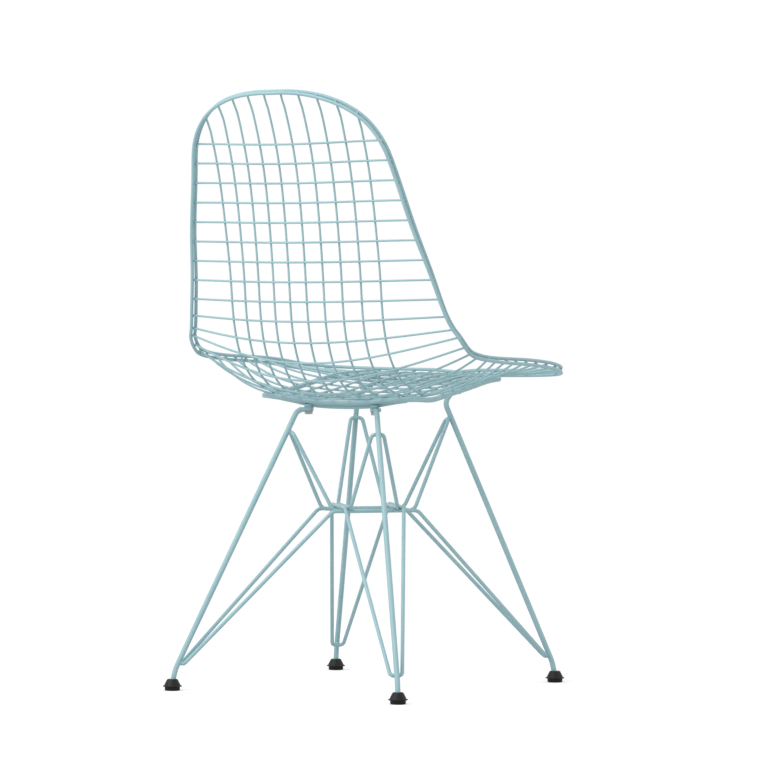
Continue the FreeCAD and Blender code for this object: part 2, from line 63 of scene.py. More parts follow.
def newGroup(name, inputs, outputs):
    group = bpy.data.node_groups.new(name, "ShaderNodeTree")
    for label, kind, value in inputs:
        socket = group.interface.new_socket(label, in_out="INPUT", socket_type=kind)
        if value is not None:
            socket.default_value = value
    for label, kind in outputs:
        group.interface.new_socket(label, in_out="OUTPUT", socket_type=kind)
    return group, group.nodes.new("NodeGroupInput"), group.nodes.new("NodeGroupOutput")


def addNode(tree, kind, values=None, **settings):
    node = tree.nodes.new(kind)
    for key, value in settings.items():
        setattr(node, key, value)
    for key, value in (values or {}).items():
        node.inputs[key].default_value = value
    return node


def buildGrainGroup():
    # A fine skin: a height for bumps and a slow tone that wanders over the surface.
    group, start, end = newGroup(
        "surfaceGrain",
        [("Position", "NodeSocketVector", None), ("Grain Scale", "NodeSocketFloat", 900.0),
         ("Tone Scale", "NodeSocketFloat", 14.0), ("Speck", "NodeSocketFloat", 0.3)],
        [("Height", "NodeSocketFloat"), ("Tone", "NodeSocketFloat")])
    link = group.links.new
    fine = addNode(group, "ShaderNodeTexNoise", {"Detail": 2.0, "Roughness": 0.5})
    coarse = addNode(group, "ShaderNodeTexNoise", {"Detail": 4.0, "Roughness": 0.6})
    speck = addNode(group, "ShaderNodeTexVoronoi", {"Randomness": 1.0})
    mix = addNode(group, "ShaderNodeMix", data_type="FLOAT")
    link(start.outputs["Position"], fine.inputs["Vector"])
    link(start.outputs["Position"], coarse.inputs["Vector"])
    link(start.outputs["Position"], speck.inputs["Vector"])
    link(start.outputs["Grain Scale"], fine.inputs["Scale"])
    link(start.outputs["Grain Scale"], speck.inputs["Scale"])
    link(start.outputs["Tone Scale"], coarse.inputs["Scale"])
    link(start.outputs["Speck"], mix.inputs[0])
    link(fine.outputs["Fac"], mix.inputs[floatMix["first"]])
    link(speck.outputs["Distance"], mix.inputs[floatMix["second"]])
    link(mix.outputs[floatMix["result"]], end.inputs["Height"])
    link(coarse.outputs["Fac"], end.inputs["Tone"])
    return group


def buildDustAndTopLightGroup():
    # A paler colour on what faces up, broken by a slow noise: painted top light on the powder coat,
    # settled dust on the glides and zinc.
    group, start, end = newGroup(
        "topDustAndLight",
        [("Position", "NodeSocketVector", None), ("Normal", "NodeSocketVector", None),
         ("Amount", "NodeSocketFloat", 0.1)],
        [("Mask", "NodeSocketFloat")])
    link = group.links.new
    split = addNode(group, "ShaderNodeSeparateXYZ")
    patch = addNode(group, "ShaderNodeTexNoise", {"Scale": 35.0, "Detail": 3.0})
    facing = addNode(group, "ShaderNodeMapRange", {"From Min": 0.2, "From Max": 1.0})
    times = addNode(group, "ShaderNodeMath", operation="MULTIPLY")
    scaled = addNode(group, "ShaderNodeMath", operation="MULTIPLY")
    link(start.outputs["Normal"], split.inputs[0])
    link(split.outputs["Z"], facing.inputs["Value"])
    link(start.outputs["Position"], patch.inputs["Vector"])
    link(facing.outputs["Result"], times.inputs[0])
    link(patch.outputs["Fac"], times.inputs[1])
    link(times.outputs[0], scaled.inputs[0])
    link(start.outputs["Amount"], scaled.inputs[1])
    link(scaled.outputs[0], end.inputs["Mask"])
    return group


grainGroup = buildGrainGroup()
dustAndTopLightGroup = buildDustAndTopLightGroup()
toneRange = {"From Min": 0.3, "From Max": 0.7}  # where the slow noise mostly lies


def makeFinish(name, look):
    # One finish: base colour with a wandering tone, a paler colour on top (painted top light on the
    # powder coat, dust on the glides and zinc), grain in bump and roughness.
    material = bpy.data.materials.new(name)
    material.use_nodes = True
    tree = material.node_tree
    link = tree.links.new
    shader = tree.nodes["Principled BSDF"]
    place = addNode(tree, "ShaderNodeTexCoord")
    geometry = addNode(tree, "ShaderNodeNewGeometry")
    grain = addNode(tree, "ShaderNodeGroup", node_tree=grainGroup)
    grain.inputs["Grain Scale"].default_value = look["grainScale"]
    grain.inputs["Tone Scale"].default_value = look["toneScale"]
    grain.inputs["Speck"].default_value = look["speck"]
    dustAndTopLight = addNode(tree, "ShaderNodeGroup", node_tree=dustAndTopLightGroup)
    dustAndTopLight.inputs["Amount"].default_value = look["dustAndTopLight"]
    tone = addNode(tree, "ShaderNodeMapRange", toneRange)
    shade = addNode(tree, "ShaderNodeMix", data_type="RGBA")
    shade.inputs[colourMix["first"]].default_value = (*look["deep"], 1.0)
    shade.inputs[colourMix["second"]].default_value = (*look["light"], 1.0)
    # The paler colour mixed in on faces turned up: painted top light on the powder coat, dust on
    # the glides and zinc.
    withDustAndTopLight = addNode(tree, "ShaderNodeMix", data_type="RGBA")
    withDustAndTopLight.inputs[colourMix["second"]].default_value = (*look["dustAndTopLightColour"], 1.0)
    gloss = addNode(tree, "ShaderNodeMapRange", {
        **toneRange, "To Min": look["smoothest"], "To Max": look["roughest"]})
    bump = addNode(tree, "ShaderNodeBump", {
        "Strength": look["bumpStrength"], "Distance": look["bumpDepth"]})
    for group in (grain, dustAndTopLight):
        link(place.outputs["Object"], group.inputs["Position"])
    link(geometry.outputs["Normal"], dustAndTopLight.inputs["Normal"])
    link(grain.outputs["Tone"], tone.inputs["Value"])
    link(tone.outputs["Result"], shade.inputs[0])
    link(shade.outputs[colourMix["result"]], withDustAndTopLight.inputs[colourMix["first"]])
    link(dustAndTopLight.outputs["Mask"], withDustAndTopLight.inputs[0])
    link(withDustAndTopLight.outputs[colourMix["result"]], shader.inputs["Base Color"])
    link(grain.outputs["Tone"], gloss.inputs["Value"])
    link(gloss.outputs["Result"], shader.inputs["Roughness"])
    link(grain.outputs["Height"], bump.inputs["Height"])
    link(bump.outputs["Normal"], shader.inputs["Normal"])
    shader.inputs["Metallic"].default_value = look["metal"]
    shader.inputs["Coat Weight"].default_value = look["coat"]
    shader.inputs["Coat Roughness"].default_value = look["coatRoughness"]
    shader.inputs["Specular IOR Level"].default_value = look["specular"]
    return material


# The powder coat's paler teal, mixed in on faces turned up, is painted top light.
powderCoat = makeFinish("powderCoat", {
    "deep": (0.270, 0.450, 0.488), "light": (0.322, 0.506, 0.542),
    "dustAndTopLightColour": (0.50, 0.63, 0.65), "dustAndTopLight": 0.10,
    "grainScale": 1300.0, "toneScale": 16.0, "speck": 0.2,
    "smoothest": 0.36, "roughest": 0.48, "bumpStrength": 0.08, "bumpDepth": 0.00008,
    "metal": 0.0, "coat": 0.06, "coatRoughness": 0.25, "specular": 0.42})
glidePlastic = makeFinish("glidePlastic", {
    "deep": (0.006, 0.006, 0.006), "light": (0.012, 0.012, 0.011),
    "dustAndTopLightColour": (0.10, 0.10, 0.09), "dustAndTopLight": 0.10,
    "grainScale": 1500.0, "toneScale": 60.0, "speck": 0.5,
    "smoothest": 0.42, "roughest": 0.60, "bumpStrength": 0.25, "bumpDepth": 0.0002,
    "metal": 0.0, "coat": 0.0, "coatRoughness": 0.1, "specular": 0.25})
zincPlate = makeFinish("zincPlate", {
    "deep": (0.24, 0.245, 0.25), "light": (0.50, 0.50, 0.485),
    "dustAndTopLightColour": (0.30, 0.29, 0.27), "dustAndTopLight": 0.10,
    "grainScale": 2200.0, "toneScale": 220.0, "speck": 0.6,
    "smoothest": 0.22, "roughest": 0.42, "bumpStrength": 0.12, "bumpDepth": 0.0001,
    "metal": 1.0, "coat": 0.0, "coatRoughness": 0.1, "specular": 0.5})
print("finishes made")

# The surface the mesh lies in. The profile is its middle in the side view as (y, z), and depth,
# lean in degrees and roundness of the dish go by share of the way from the top to the front.
shell = {
    "profile": [
        (233.0, 830.0), (204.6, 759.6), (184.4, 668.0), (171.6, 560.0), (163.9, 501.0),
        (148.6, 457.5), (111.0, 416.5), (62.0, 406.8), (-50.0, 417.8), (-165.0, 433.6),
        (-235.4, 436.6)],
    "seatHalfWidth": 230.5, "taperWidth": 140.6, "taperLength": 399.2, "taperBlend": 8.0,
    "topLength": 104.0, "topPower": 2.5, "frontLength": 134.0, "frontPower": 3.0,
    "rimLimit": 1.1, "tableCount": 600, "normalStep": 1.5,
    "depth": [
        (0.0, 1.5), (0.05, 9.0), (0.1, 11.0), (0.24, 20.5), (0.345, 39.0), (0.45, 53.0),
        (0.555, 63.5), (0.64, 59.0), (0.74, 46.0), (0.845, 27.5), (0.93, 11.0), (1.0, 3.0)],
    "lean": [
        (0.0, 0.0), (0.4, 0.0), (0.445, 5.0), (0.485, 13.0), (0.52, 11.0), (0.56, 1.0),
        (0.6, -7.0), (0.66, -9.0), (0.8, -7.0), (0.9, -3.0), (1.0, 0.0)],
    "roundness": [
        (0.0, 1.6), (0.2, 2.05), (0.31, 1.5), (0.39, 1.24), (0.53, 1.2), (0.595, 0.75),
        (0.64, 0.05), (0.71, 0.25), (0.78, 0.5), (0.845, 0.95), (1.0, 1.0)],
}


def smoothValue(stations, x):
    # A smooth curve through (place, value) stations, holding its end values beyond them.
    n = len(stations)
    slopes = []
    for i in range(n):
        low = stations[max(i - 1, 0)]
        high = stations[min(i + 1, n - 1)]
        slopes.append((high[1] - low[1]) / (high[0] - low[0]))
    i = 0
    while i < n - 2 and x > stations[i + 1][0]:
        i += 1
    (x0, y0), (x1, y1) = stations[i], stations[i + 1]
    h = x1 - x0
    t = min(max((x - x0) / h, 0.0), 1.0)
    a = (1 + 2 * t) * (1 - t) ** 2
    b = t * (1 - t) ** 2
    c = t * t * (3 - 2 * t)
    d = t * t * (t - 1)
    return a * y0 + b * h * slopes[i] + c * y1 + d * h * slopes[i + 1]


def splineSlopes(knots, values):
    # Slopes that make a chain of cubics smooth to the second derivative, with free ends.
    n = len(knots)
    upper = [0.5]
    right = [1.5 * (values[1] - values[0]) / (knots[1] - knots[0])]
    for i in range(1, n):
        h0 = knots[i] - knots[i - 1]
        d0 = (values[i] - values[i - 1]) / h0
        if i < n - 1:
            h1 = knots[i + 1] - knots[i]
            d1 = (values[i + 1] - values[i]) / h1
            low, mid, high = h1, 2 * (h0 + h1), h0
            total = 3 * (h1 * d0 + h0 * d1)
        else:
            low, mid, high = 1.0, 2.0, 0.0
            total = 3 * d0
        scale = mid - low * upper[-1]
        upper.append(high / scale)
        right.append((total - low * right[-1]) / scale)
    slopes = [right[-1]]
    for i in range(n - 2, -1, -1):
        slopes.append(right[i] - upper[i] * slopes[-1])
    return slopes[::-1]


sideKnots = [0.0]
for (ya, za), (yb, zb) in zip(shell["profile"], shell["profile"][1:]):
    sideKnots.append(sideKnots[-1] + math.hypot(yb - ya, zb - za))
sideSlopes = [splineSlopes(sideKnots, [p[k] for p in shell["profile"]]) for k in (0, 1)]


def sideAt(u):
    # Point and direction on the side view curve.
    i = 0
    while i < len(sideKnots) - 2 and u > sideKnots[i + 1]:
        i += 1
    h = sideKnots[i + 1] - sideKnots[i]
    t = (u - sideKnots[i]) / h
    place, heading = [], []
    for k in (0, 1):
        p0, p1 = shell["profile"][i][k], shell["profile"][i + 1][k]
        m0, m1 = sideSlopes[k][i] * h, sideSlopes[k][i + 1] * h
        c2 = 3 * (p1 - p0) - 2 * m0 - m1
        c3 = 2 * (p0 - p1) + m0 + m1
        place.append(p0 + m0 * t + c2 * t * t + c3 * t ** 3)
        heading.append((m0 + 2 * c2 * t + 3 * c3 * t * t) / h)
    size = math.hypot(*heading)
    return place, [heading[0] / size, heading[1] / size]


sideLengths = [0.0]
for i in range(shell["tableCount"]):
    (ya, za), d = sideAt(sideKnots[-1] * i / shell["tableCount"])
    (yb, zb), d = sideAt(sideKnots[-1] * (i + 1) / shell["tableCount"])
    sideLengths.append(sideLengths[-1] + math.hypot(yb - ya, zb - za))
shellLength = sideLengths[-1]


def middleLine(s):
    # Point and inward direction on the middle line, at distance s from the top edge.
    low, high = 0, shell["tableCount"]
    while high - low > 1:
        half = (low + high) // 2
        if sideLengths[half] <= s:
            low = half
        else:
            high = half
    share = (s - sideLengths[low]) / (sideLengths[high] - sideLengths[low])
    place, heading = sideAt(sideKnots[-1] * (low + share) / shell["tableCount"])
    return Vector((0, place[0], place[1])), Vector((0, heading[1], -heading[0]))


def cornerShare(distance, length, power):
    # The share of the full width that a rounded corner leaves this far from its edge.
    r = 1 - distance / length
    return 1.0 if r <= 0 else max(1 - r ** power, 0.0) ** (1 / power)


def halfWidth(s):
    # Outline of the shell: half its width at distance s.
    widening = shell["seatHalfWidth"] - shell["taperWidth"]
    taper = shell["taperWidth"] + widening * s / shell["taperLength"]
    gap = taper - shell["seatHalfWidth"]
    side = (taper + shell["seatHalfWidth"] - math.sqrt(gap * gap + shell["taperBlend"] ** 2)) / 2
    top = cornerShare(s, shell["topLength"], shell["topPower"])
    front = cornerShare(shellLength - s, shell["frontLength"], shell["frontPower"])
    return side * top * front


def shellPoint(s, x):
    # The mesh surface: the middle line lifted inward towards both sides.
    s = min(max(s, 0.0), shellLength)
    p, inward = middleLine(s)
    share = s / shellLength
    w = max(halfWidth(s), 1.0)
    t2 = min(abs(x) / w, shell["rimLimit"]) ** 2
    k = smoothValue(shell["roundness"], share)
    lift = smoothValue(shell["depth"], share) * (k * t2 + (1 - k) * t2 * t2)
    lean = math.radians(smoothValue(shell["lean"], share))
    along = Vector((0, inward.z, -inward.y))
    return p + Vector((x, 0, 0)) + (inward * math.cos(lean) + along * math.sin(lean)) * lift


def shellNormal(s, x):
    # Square to the mesh, towards the sitter.
    step = shell["normalStep"]
    s0, s1 = max(s - step, 0.0), min(s + step, shellLength)
    w = max(halfWidth(s), 1.0)
    reach = max(min(x / w, 1.0), -1.0)
    along = (shellPoint(s1, reach * max(halfWidth(s1), 1.0))
             - shellPoint(s0, reach * max(halfWidth(s0), 1.0)))
    across = shellPoint(s, x + step) - shellPoint(s, x - step)
    return along.cross(across).normalized()


def offsetPoint(s, x, distance):
    return shellPoint(s, x) + shellNormal(s, x) * distance


print("shell surface worked out, %.1f mm down the middle" % shellLength)

edges = {"wireAngle": 50.0, "solidAngle": 40.0, "bevelAngle": 28.0}


def finishPiece(piece, material, nodes=()):
    bpy.context.view_layer.objects.active = piece
    piece.data.materials.clear()
    piece.data.materials.append(material)
    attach(piece, "root")
    if nodes:
        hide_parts(*nodes)


def drawWire(name, points, diameter, closed=False, detail=3):
    # A round wire along points in millimetres, made a mesh.
    bpy.ops.object.select_all(action="DESELECT")
    bpy.ops.curve.primitive_nurbs_path_add(location=(0, 0, 0))
    curve = bpy.context.object.data
    curve.splines.clear()
    spline = curve.splines.new("POLY")
    spline.points.add(len(points) - 1)
    for point, place in zip(spline.points, points):
        point.co = (*(place * mm), 1.0)
    spline.use_cyclic_u = closed
    spline.use_smooth = True
    curve.dimensions = "3D"
    curve.twist_mode = "MINIMUM"
    curve.bevel_depth = diameter / 2 * mm
    curve.bevel_resolution = detail
    curve.use_fill_caps = not closed
    bpy.ops.object.convert(target="MESH")
    piece = bpy.context.object
    piece.name = name
    piece.data.name = name
    bpy.ops.object.shade_smooth_by_angle(angle=math.radians(edges["wireAngle"]))
    return piece


def roundedPath(points, radii, closed=False, stepDegrees=7.0, runStep=60.0):
    # Straight runs joined by tangent arcs, as a list of points.
    n = len(points)
    cuts = {}
    for i in range(n) if closed else range(1, n - 1):
        here = points[i]
        a = (points[(i - 1) % n] - here).normalized()
        b = (points[(i + 1) % n] - here).normalized()
        turn = math.pi - a.angle(b)
        trim = radii[i] * math.tan(turn / 2)
        cuts[i] = (a, b, turn, trim)
    path = []
    for i in range(n):
        here = points[i]
        if i not in cuts:
            path.append(here)
            continue
        a, b, turn, trim = cuts[i]
        inside = (a + b).normalized()
        centre = here + inside * math.hypot(trim, radii[i])
        begin = here + a * trim - centre
        finish = here + b * trim - centre
        steps = max(2, math.ceil(math.degrees(turn) / stepDegrees))
        for k in range(steps + 1):
            share = k / steps
            spread = math.sin(turn)
            path.append(centre + begin * (math.sin((1 - share) * turn) / spread)
                        + finish * (math.sin(share * turn) / spread))
    dense = []
    count = len(path) if closed else len(path) - 1
    for i in range(count):
        p, q = path[i], path[(i + 1) % len(path)]
        pieces = max(1, math.ceil((q - p).length / runStep))
        dense += [p + (q - p) * (k / pieces) for k in range(pieces)]
    if not closed:
        dense.append(path[-1])
    return dense


def turnedPiece(name, base, rings, vertices, bevel):
    # A turned piece: a filled circle, extruded and scaled ring by ring, then bevelled.
    bpy.ops.object.select_all(action="DESELECT")
    radius, height = rings[0]
    start = base + Vector((0, 0, height))
    bpy.ops.mesh.primitive_circle_add(
        vertices=vertices, radius=radius * mm, fill_type="NGON", location=start * mm)
    piece = bpy.context.object
    piece.name = name
    piece.data.name = name
    bpy.ops.object.mode_set(mode="EDIT")
    bpy.ops.mesh.select_all(action="SELECT")
    for nextRadius, nextHeight in rings[1:]:
        bpy.ops.mesh.extrude_region_move(
            TRANSFORM_OT_translate={"value": (0, 0, (nextHeight - height) * mm)})
        if nextRadius != radius:
            share = nextRadius / radius
            centre = (base + Vector((0, 0, nextHeight))) * mm
            bpy.ops.transform.resize(
                value=(share, share, 1), center_override=(centre.x, centre.y, centre.z))
        radius, height = nextRadius, nextHeight
    bpy.ops.mesh.select_all(action="SELECT")
    bpy.ops.mesh.normals_make_consistent(inside=False)
    bpy.ops.object.mode_set(mode="OBJECT")
    bpy.ops.object.transform_apply(location=True, rotation=True, scale=True)
    softenEdges(piece, bevel)
    return piece


def softenEdges(piece, width, segments=2):
    bpy.context.view_layer.objects.active = piece
    soft = piece.modifiers.new("softEdges", "BEVEL")
    soft.width = width * mm
    soft.segments = segments
    soft.limit_method = "ANGLE"
    soft.angle_limit = math.radians(edges["bevelAngle"])
    bpy.ops.object.modifier_apply(modifier=soft.name)
    bpy.ops.object.shade_smooth_by_angle(angle=math.radians(edges["solidAngle"]))


def turnTo(direction):
    # Turns the upright direction to this one.
    return Vector((0, 0, 1)).rotation_difference(direction).to_matrix().to_4x4()


def joinPieces(pieces, name):
    bpy.ops.object.select_all(action="DESELECT")
    for piece in pieces:
        piece.select_set(True)
    bpy.context.view_layer.objects.active = pieces[0]
    if len(pieces) > 1:
        bpy.ops.object.join()
    joined = bpy.context.object
    joined.name = name
    joined.data.name = name
    return joined


# Cross wires from side to side, and long wires on the sitter's side of them.
mesh = {
    "wire": 3.0, "sink": 0.12, "firstRow": 75.9,
    "backPitch": 27.44, "backRows": 10, "hipPitch": 30.3, "hipRows": 6,
    "seatPitch": 27.3, "seatRows": 9, "ribPitch": 28.0, "ribs": 5, "ribSettle": 26.0,
    "crossSteps": 36, "ribSteps": 64, "tuckShare": 0.3, "halvings": 50,
}
wireTuck = mesh["wire"] * mesh["tuckShare"]  # how far a wire end runs in between the rims

rows = []
distance = mesh["firstRow"]
for count, pitch, following in (
        (mesh["backRows"], mesh["backPitch"], mesh["hipPitch"]),
        (mesh["hipRows"], mesh["hipPitch"], mesh["seatPitch"]),
        (mesh["seatRows"], mesh["seatPitch"], mesh["seatPitch"])):
    for i in range(count):
        rows.append(distance)
        distance += pitch
    distance += following - pitch

for number, s in enumerate(rows, 1):
    w = halfWidth(s) + wireTuck
    points = [shellPoint(s, w * (2 * i / mesh["crossSteps"] - 1))
              for i in range(mesh["crossSteps"] + 1)]
    wire = drawWire("crossWire%02d" % number, points, mesh["wire"])
    finishPiece(wire, powderCoat, ["cross_wire_%02d" % number])
print("cross wires:", len(rows))


def rimDistance(x, low, high):
    # Where the outline is x wide, by halving the interval.
    for i in range(mesh["halvings"]):
        mid = (low + high) / 2
        if (halfWidth(mid) < x) == (halfWidth(low) < x):
            low = mid
        else:
            high = mid
    return (low + high) / 2


ribLift = mesh["wire"] - mesh["sink"]
ribEnds = []
for side in (-1, 1):
    for number in range(mesh["ribs"]):
        x = mesh["ribPitch"] * (number + 0.5)
        start = rimDistance(x, 0.0, shell["topLength"]) - wireTuck
        end = rimDistance(x, shellLength - shell["frontLength"], shellLength) + wireTuck
        ribEnds.append((x * side, start, end))
        points = []
        for i in range(mesh["ribSteps"] + 1):
            s = start + (end - start) * i / mesh["ribSteps"]
            near = min(max(min(s - start, end - s) / mesh["ribSettle"], 0.0), 1.0)
            ease = near * near * (3 - 2 * near)
            points.append(offsetPoint(s, x * side, ribLift * ease))
        label = "left" if side > 0 else "right"
        wire = drawWire("longWire%s%d" % (label.title(), number + 1), points, mesh["wire"])
        finishPiece(wire, powderCoat, ["long_wire_%s_%d" % (label, number + 1)])
print("long wires:", len(ribEnds))

# Two rim wires that hold the ends of the mesh between them.
rims = {"wire": 4.8, "cornerSteps": 22, "sideSteps": 44, "edgeReach": 9.0}

outline = []
for i in range(rims["cornerSteps"]):
    angle = math.pi / 2 * i / rims["cornerSteps"]
    outline.append(shell["topLength"] * (1 - math.cos(angle) ** (2 / shell["topPower"])))
frontStart = shellLength - shell["frontLength"]
for i in range(rims["sideSteps"] + 1):
    outline.append(shell["topLength"] + (frontStart - shell["topLength"]) * i / rims["sideSteps"])
for i in range(rims["cornerSteps"] - 1, -1, -1):
    angle = math.pi / 2 * i / rims["cornerSteps"]
    outline.append(
        shellLength - shell["frontLength"] * (1 - math.cos(angle) ** (2 / shell["frontPower"])))
rimLift = (rims["wire"] + mesh["wire"]) / 2 - mesh["sink"]


def rimPoint(s, x, lift):
    # Close to the top and front edges the direction is read a little further in.
    inside = min(max(s, rims["edgeReach"]), shellLength - rims["edgeReach"])
    return shellPoint(s, x) + shellNormal(inside, x) * lift


for name, cadName, lift in (("rimFront", "rim_front", rimLift), ("rimBack", "rim_back", -rimLift)):
    left = [rimPoint(s, halfWidth(s), lift) for s in outline]
    for p in left:
        p.z = min(p.z, cadHigh[2] / mm - rims["wire"] / 2)
    right = [Vector((-p.x, p.y, p.z)) for p in reversed(left[1:-1])]
    rim = drawWire(name, left + right, rims["wire"], closed=True, detail=4)
    finishPiece(rim, powderCoat, [cadName])
print("rims: 2")

# Rod ring under the seat, and the bowed rail against its rear bar.
ring = {
    "rod": 7.5, "halfWidth": 140.0, "rearLead": -13.5, "frontRow": -3,
    "frontLead": 4.5, "corner": 22.0, "barSteps": 12, "cornerSteps": 8,
    "cornerDip": 3.2, "dipInset": 2.0, "dipReach": 26.0,
    "barRise": 1.8, "riseAt": 84.0, "riseReach": 26.0,
}

ringRear = rows[mesh["backRows"] + mesh["hipRows"] - 1] + ring["rearLead"]
ringFront = rows[ring["frontRow"]] + ring["frontLead"]
ringDrop = -((ring["rod"] + mesh["wire"]) / 2 - mesh["sink"])


def ringPath():
    # The ring as (distance, x) round the four corners.
    c = ring["corner"]
    w = ring["halfWidth"]
    corners = ((ringRear + c, w - c, -1, 1), (ringFront - c, w - c, 1, 1),
               (ringFront - c, c - w, 1, -1), (ringRear + c, c - w, -1, -1))
    path = []
    for index, (s, x, down, out) in enumerate(corners):
        for i in range(ring["cornerSteps"] + 1):
            angle = math.pi / 2 * i / ring["cornerSteps"]
            a, b = math.sin(angle), math.cos(angle)
            if index % 2:
                a, b = b, a
            path.append((s + down * c * b, x + out * c * a))
        nextS, nextX, nextDown, nextOut = corners[(index + 1) % 4]
        last = path[-1]
        if index % 2 == 0:
            follow = (nextS, nextX + nextOut * c)
        else:
            follow = (nextS + nextDown * c, nextX)
        for i in range(1, ring["barSteps"]):
            share = i / ring["barSteps"]
            path.append((last[0] + (follow[0] - last[0]) * share,
                         last[1] + (follow[1] - last[1]) * share))
    return path


def ringPoint(s, x, more=0.0):
    # Under the cross wires. The rear bar bows up on both sides of the middle, and the right
    # rear corner hangs a little.
    inset = ring["dipInset"]
    away = math.hypot(s - ringRear - inset, x + ring["halfWidth"] - inset) / ring["dipReach"]
    side = math.hypot(s - ringRear, abs(x) - ring["riseAt"]) / ring["riseReach"]
    bow = ring["barRise"] * math.exp(-side ** 2) - ring["cornerDip"] * math.exp(-away ** 2)
    return offsetPoint(s, x, ringDrop + bow + more)


ringPoints = [ringPoint(s, x) for s, x in ringPath()]
seatRing = drawWire("seatRing", ringPoints, ring["rod"], closed=True, detail=5)
finishPiece(seatRing, powderCoat, ["seat_ring"])

rail = {
    "half": 104.0, "start": 50.0, "swing": 45.0, "steps": 24, "endBevel": 1.2,
    "bossRadius": 6.2, "bossBevel": 0.5,
}
bolts = {
    "rear": (56.0, 60.4), "padTopRear": 395.0, "frontX": 76.0, "frontInset": 25.0,
    "radius": 3.0, "shankBelow": 0.5, "shankAbove": 2.6, "shankSides": 32, "shankBevel": 0.2,
    "headAcross": 10.0, "headHeight": 4.0, "headEnd": 0.86, "headChamfer": 0.7,
    "headSides": 6, "headBevel": 0.25,
}
roundSides = 40


def railAt(x):
    # Touching the rear bar: below and ahead of it in the middle, beside it at the ends.
    swing = math.radians(rail["start"] + rail["swing"] * (x / rail["half"]) ** 2)
    below = ringPoint(ringRear, x, -ring["rod"] * math.cos(swing))
    return below + (offsetPoint(ringRear + ring["rod"] * math.sin(swing), x, 0)
                    - offsetPoint(ringRear, x, 0))


railPoints = [railAt(rail["half"] * (2 * i / rail["steps"] - 1))
              for i in range(rail["steps"] + 1)]
railParts = [drawWire("rearRail", railPoints, ring["rod"], detail=5)]
softenEdges(railParts[0], rail["endBevel"], segments=3)
bossRise = railAt(bolts["rear"][0]).z - bolts["padTopRear"]
for side in (-1, 1):
    foot = Vector((bolts["rear"][0] * side, bolts["rear"][1], bolts["padTopRear"]))
    railParts.append(turnedPiece(
        "railBoss%d" % side, foot, ((rail["bossRadius"], 0), (rail["bossRadius"], bossRise)),
        roundSides, rail["bossBevel"]))
rearRail = joinPieces(railParts, "rearRail")
finishPiece(rearRail, powderCoat, ["rear_rail"])

tabs = {"thickness": 4.0, "width": 20.0, "rearReach": 10.0, "bevel": 0.8}
barFront = offsetPoint(ringFront, bolts["frontX"], ringDrop)
boltFrontY = barFront.y + bolts["frontInset"]
padTopFront = barFront.z - ring["rod"] / 2 + mesh["sink"] / 2 - tabs["thickness"]
tabParts = []
for side in (-1, 1):
    low = Vector((bolts["frontX"] * side - tabs["width"] / 2, barFront.y, padTopFront))
    size = Vector((tabs["width"], boltFrontY + tabs["rearReach"] - barFront.y,
                   tabs["thickness"]))
    bpy.ops.object.select_all(action="DESELECT")
    bpy.ops.mesh.primitive_cube_add(
        size=1, location=(low + size / 2) * mm, scale=size * mm)
    tabPart = bpy.context.object
    bpy.ops.object.transform_apply(location=True, rotation=True, scale=True)
    softenEdges(tabPart, tabs["bevel"])
    tabParts.append(tabPart)
frontTabs = joinPieces(tabParts, "frontTabs")
finishPiece(frontTabs, powderCoat, ["front_tabs"])
print("ring, rail and tabs made")

# Legs: a rod from the glide up to a bend, ending in a flat pad that a bolt holds from below.
legs = {
    "rod": 7.5, "foot": (189.2, 204.8), "topRear": (66.9, 72.5, 391.0),
    "topFront": (74.8, -90.5, 400.0), "ankleHeight": 30.0, "toeTilt": 12.0, "toeHeight": 6.0,
    "shoulderBend": 13.0, "ankleBend": 60.0, "shortRun": 1.2, "endRoom": 1.0, "endTuck": 0.3,
    "cutBelow": 0.05,
}
pads = {"width": 14.0, "thickness": 4.6, "tongue": 5.0, "middleBand": 0.1, "bevel": 1.1}
washers = {"radius": 6.4, "thickness": 1.2, "bevel": 0.25}
corners = (("RearLeft", "rear_left", 1, 1), ("RearRight", "rear_right", -1, 1),
           ("FrontLeft", "front_left", 1, -1), ("FrontRight", "front_right", -1, -1))


def legPoints(sx, sy):
    # Toe inside the glide, ankle and bend of one leg, and the way in from the toe.
    x, y, z = legs["topRear"] if sy > 0 else legs["topFront"]
    bend = Vector((sx * x, y, z))
    foot = Vector((sx * legs["foot"][0], sy * legs["foot"][1], legs["toeHeight"]))
    inward = Vector((bend.x - foot.x, bend.y - foot.y, 0)).normalized()
    rise = legs["ankleHeight"] - legs["toeHeight"]
    ankle = foot + inward * (rise * math.tan(math.radians(legs["toeTilt"])))
    ankle.z += rise
    return foot, ankle, bend, inward


def legAt(sx, sy, height):
    # Point on the straight part of a leg, and its angle from upright.
    foot, ankle, bend, inward = legPoints(sx, sy)
    run = bend - ankle
    place = ankle + run * ((height - ankle.z) / run.z)
    return place, math.atan2(math.hypot(run.x, run.y), run.z)


